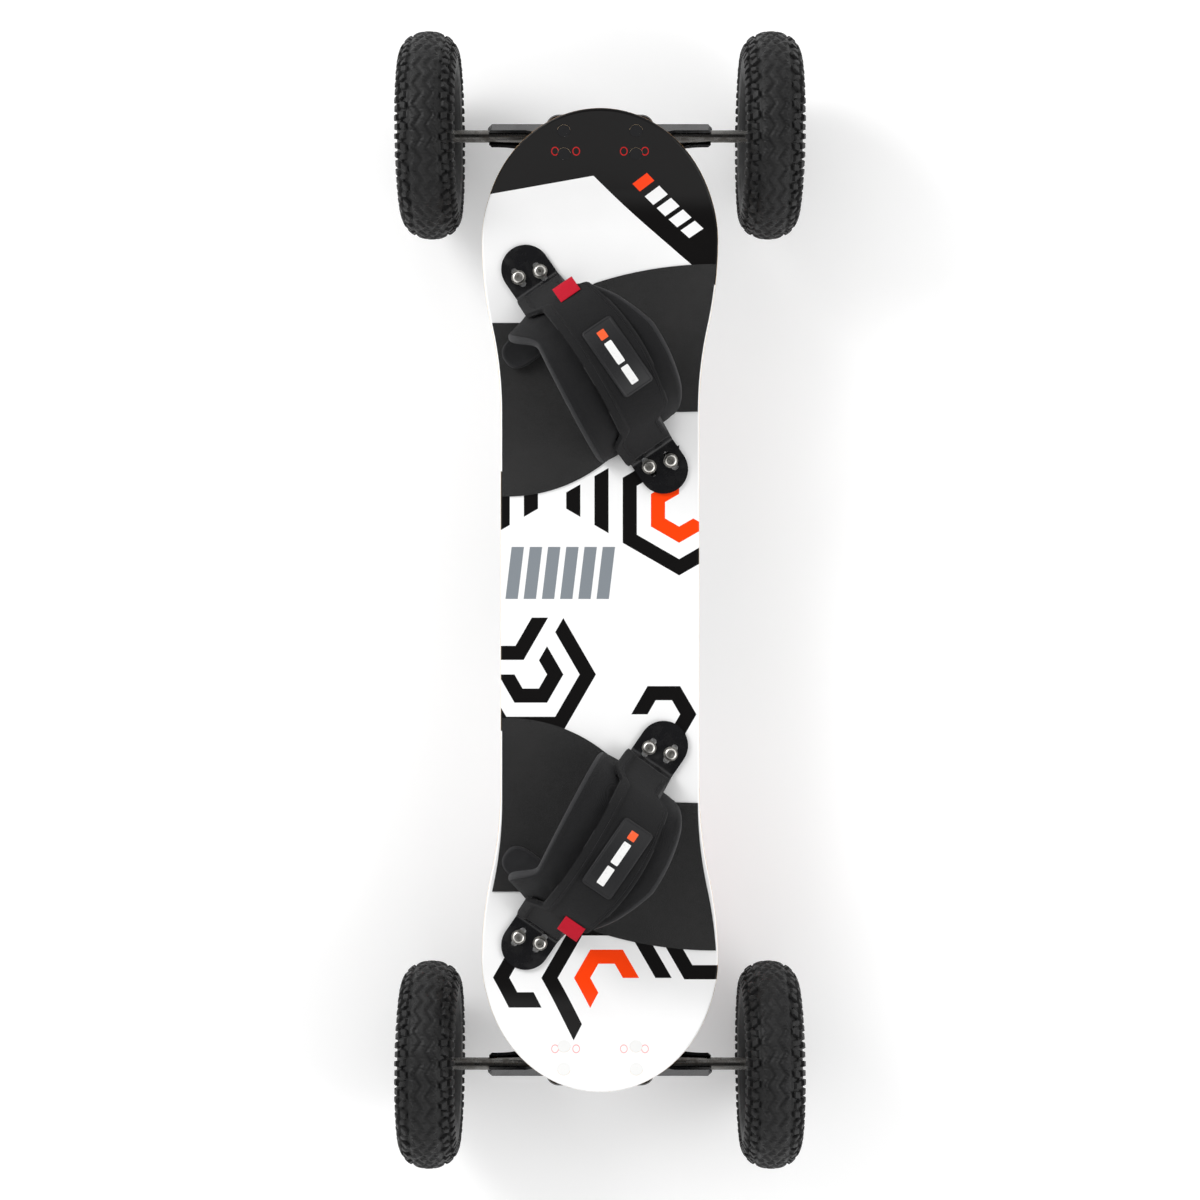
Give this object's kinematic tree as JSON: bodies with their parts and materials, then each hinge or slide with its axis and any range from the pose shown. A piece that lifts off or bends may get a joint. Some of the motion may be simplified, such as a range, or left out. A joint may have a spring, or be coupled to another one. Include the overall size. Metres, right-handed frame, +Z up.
{
  "type": "mountainboard",
  "caption": "Maple deck with turned-up tips, angled foot bindings, sprung steering trucks and air-filled tyres for riding on grass and dirt.",
  "frame": {"origin": "on the floor under the middle of the deck, midway between the axles, with all the wheels standing on the floor", "axes": "+Y points along the deck towards the nose, +X to the toe side of the bindings, +Z up"},
  "size_m": [0.3954, 1.105, 0.2228],
  "materials": {
    "deck_print": "printed and lacquered maple ply, pale ply edges",
    "grip": "coarse gritted sheet",
    "black_steel": "satin black powder coat",
    "foam": "knit-faced neoprene foam",
    "badge_rubber": "plain moulded rubber",
    "webbing": "brushed loop fabric",
    "red_webbing": "woven tape",
    "dark_zinc": "black zinc",
    "tyre_rubber": "matte moulded rubber",
    "tube_rubber": "butyl rubber",
    "nylon": "glass-filled nylon, moulded",
    "elastomer": "cast polyurethane",
    "axle_steel": "turned steel, oiled",
    "spring_steel": "black oxide spring wire",
    "bright_steel": "zinc-plated steel"
  },
  "bodies": {
    "board": {"deck": "deck_print", "front_grip_pad": "grip", "rear_grip_pad": "grip", "front_brackets": "black_steel", "rear_brackets": "black_steel", "front_foot_pad": "foam", "rear_foot_pad": "foam", "front_strap": "webbing", "rear_strap": "webbing", "pull_tabs": "red_webbing", "strap_badges": "badge_rubber", "binding_bolts": "bright_steel", "binding_washers": "bright_steel", "binding_tee_nuts": "dark_zinc", "truck_bolts": "bright_steel", "truck_nuts": "dark_zinc", "front_base_plate": "black_steel", "front_kingpin": "bright_steel", "front_kingpin_nut": "bright_steel", "front_pivot_bushes": "elastomer", "front_springs": "spring_steel", "front_dampers": "elastomer", "rear_base_plate": "black_steel", "rear_kingpin": "bright_steel", "rear_kingpin_nut": "bright_steel", "rear_pivot_bushes": "elastomer", "rear_springs": "spring_steel", "rear_dampers": "elastomer"},
    "front_truck": {"front_hanger": "black_steel", "front_axle": "axle_steel", "front_axle_nuts": "bright_steel", "front_spring_screws": "bright_steel"},
    "front_right_wheel": {"front_right_tyre": "tyre_rubber", "front_right_inner_tube": "tube_rubber", "front_right_hub_outer_half": "nylon", "front_right_hub_inner_half": "nylon", "front_right_bearings": "bright_steel", "front_right_hub_screws": "bright_steel"},
    "front_left_wheel": {"front_left_tyre": "tyre_rubber", "front_left_inner_tube": "tube_rubber", "front_left_hub_outer_half": "nylon", "front_left_hub_inner_half": "nylon", "front_left_bearings": "bright_steel", "front_left_hub_screws": "bright_steel"},
    "rear_truck": {"rear_hanger": "black_steel", "rear_axle": "axle_steel", "rear_axle_nuts": "bright_steel", "rear_spring_screws": "bright_steel"},
    "rear_right_wheel": {"rear_right_tyre": "tyre_rubber", "rear_right_inner_tube": "tube_rubber", "rear_right_hub_outer_half": "nylon", "rear_right_hub_inner_half": "nylon", "rear_right_bearings": "bright_steel", "rear_right_hub_screws": "bright_steel"},
    "rear_left_wheel": {"rear_left_tyre": "tyre_rubber", "rear_left_inner_tube": "tube_rubber", "rear_left_hub_outer_half": "nylon", "rear_left_hub_inner_half": "nylon", "rear_left_bearings": "bright_steel", "rear_left_hub_screws": "bright_steel"}
  },
  "joints": [
    {"name": "front_truck_steer", "type": "hinge", "parent": "board", "child": "front_truck", "pos_m": [0, 0.43701, 0.12212], "axis": [0, 0.8192, 0.5736], "range_deg": [-15, 15], "stiffness_Nm_per_rad": 60, "deforming": ["front_springs", "front_dampers"]},
    {"name": "front_right_wheel_spin", "type": "hinge", "parent": "front_truck", "child": "front_right_wheel", "pos_m": [0.165, 0.4525, 0.1], "axis": [1, 0, 0], "continuous": true},
    {"name": "front_left_wheel_spin", "type": "hinge", "parent": "front_truck", "child": "front_left_wheel", "pos_m": [-0.165, 0.4525, 0.1], "axis": [1, 0, 0], "continuous": true},
    {"name": "rear_truck_steer", "type": "hinge", "parent": "board", "child": "rear_truck", "pos_m": [0, -0.43701, 0.12212], "axis": [0, -0.8192, 0.5736], "range_deg": [-15, 15], "stiffness_Nm_per_rad": 60, "deforming": ["rear_springs", "rear_dampers"]},
    {"name": "rear_right_wheel_spin", "type": "hinge", "parent": "rear_truck", "child": "rear_right_wheel", "pos_m": [0.165, -0.4525, 0.1], "axis": [1, 0, 0], "continuous": true},
    {"name": "rear_left_wheel_spin", "type": "hinge", "parent": "rear_truck", "child": "rear_left_wheel", "pos_m": [-0.165, -0.4525, 0.1], "axis": [1, 0, 0], "continuous": true}
  ]
}
